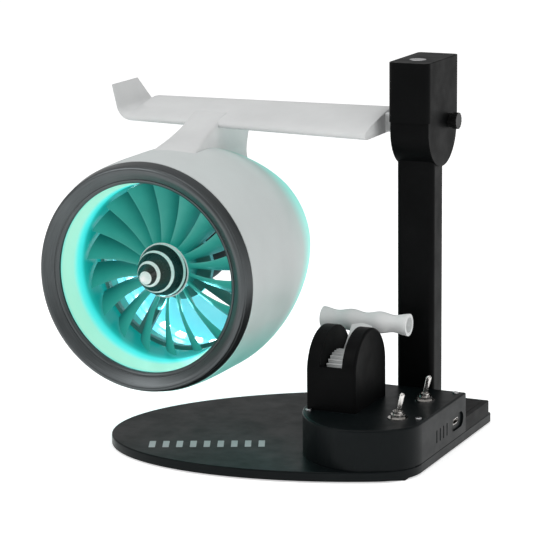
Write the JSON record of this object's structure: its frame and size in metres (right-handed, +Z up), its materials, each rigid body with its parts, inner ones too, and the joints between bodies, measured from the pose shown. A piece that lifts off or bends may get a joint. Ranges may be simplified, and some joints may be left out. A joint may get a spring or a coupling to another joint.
{
  "type": "engine model desk stand",
  "caption": "Desk stand in the shape of a lit turbofan under a wing on a post, with a turning fan, throttle lever, toggle switches and a power socket in its base.",
  "frame": {"origin": "centre of the base plate's oval outline, on the surface that the stand rests on", "axes": "+Z up; +Y to the back, along the engine's axis from its intake to its exhaust; +X to the right seen from the front"},
  "size_m": [0.2369, 0.1762, 0.2316],
  "materials": {
    "black_plastic": "satin black",
    "black_gloss": "glossy black",
    "mat_rubber": "matt",
    "wing_plastic": "matt white grey",
    "cowl_plastic": "translucent white, lit from inside",
    "ring_metal": "dark brushed",
    "duct_plastic": "grey-green satin",
    "blade_plastic": "pale grey green satin",
    "white_plastic": "white satin",
    "steel": "plain",
    "chrome": "bright",
    "brass": "plain",
    "board": "green board",
    "light": "lit mint green"
  },
  "bodies": {
    "stand": {"anti_slip_mat": "mat_rubber", "base_plate": "black_gloss", "foot_bolts": "steel", "control_box": "black_gloss", "cover_screws": "black_plastic", "rear_box": "black_plastic", "rear_lid": "black_gloss", "column": "black_plastic", "head_shell": "black_plastic", "head_lid": "black_gloss", "tie_bolt": "steel", "cap_disc": "chrome", "wing": "wing_plastic", "pylon": "wing_plastic", "cowl": "cowl_plastic", "lip_ring": "ring_metal", "intake_duct": "cowl_plastic", "light_ring": "white_plastic", "light_strip": "board", "light_chips": "light", "motor_mount": "duct_plastic", "mount_screws": "steel", "shaft_bush": "brass", "motor": "steel", "motor_cover": "black_plastic", "throttle_housing": "black_plastic", "housing_screws": "steel", "potentiometer": "steel", "pot_nut": "steel", "pot_bracket": "steel", "toggle_body_front": "chrome", "toggle_body_rear": "chrome", "toggle_washers": "chrome", "toggle_nuts": "chrome", "control_board": "board", "board_posts": "black_plastic", "power_socket": "chrome", "socket_board": "board"},
    "fan": {"fan_rotor": "blade_plastic", "fan_shaft": "steel", "spinner": "black_gloss", "spinner_rim": "white_plastic"},
    "throttle": {"throttle_lever": "white_plastic", "pivot_pin": "steel"},
    "pot_rotor": {"pot_pinion": "white_plastic", "pot_shaft": "steel"},
    "toggle_front": {"toggle_bat_front": "chrome"},
    "toggle_rear": {"toggle_bat_rear": "chrome"},
    "clamp": {"clamp_knob": "black_plastic", "clamp_stud": "steel"}
  },
  "joints": [
    {"name": "fan_spin", "type": "hinge", "parent": "stand", "child": "fan", "pos_m": [-0.104, -0.04325, 0.108], "axis": [0, 1, 0], "continuous": true},
    {"name": "throttle_turn", "type": "hinge", "parent": "stand", "child": "throttle", "pos_m": [0.0036, -0.025, 0.0417], "axis": [1, 0, 0], "range_deg": [0, 88]},
    {"name": "pot_turn", "type": "hinge", "parent": "stand", "child": "pot_rotor", "pos_m": [0.0005, -0.03825, 0.01875], "axis": [1, 0, 0], "range_deg": [-272, 1]},
    {"name": "toggle_front_flip", "type": "hinge", "parent": "stand", "child": "toggle_front", "pos_m": [0.0456, -0.047, 0.0332], "axis": [0, 1, 0], "range_deg": [-25, 0]},
    {"name": "toggle_rear_flip", "type": "hinge", "parent": "stand", "child": "toggle_rear", "pos_m": [0.0456, -0.004, 0.0332], "axis": [0, 1, 0], "range_deg": [-25, 0]},
    {"name": "clamp_turn", "type": "hinge", "parent": "stand", "child": "clamp", "pos_m": [0.0417, 0.0468, 0.1926], "axis": [1, 0, 0], "range_deg": [-360, 0]}
  ],
  "couplings": [
    {"joint": "pot_turn", "follows": "throttle_turn", "ratio": -3.0769}
  ]
}
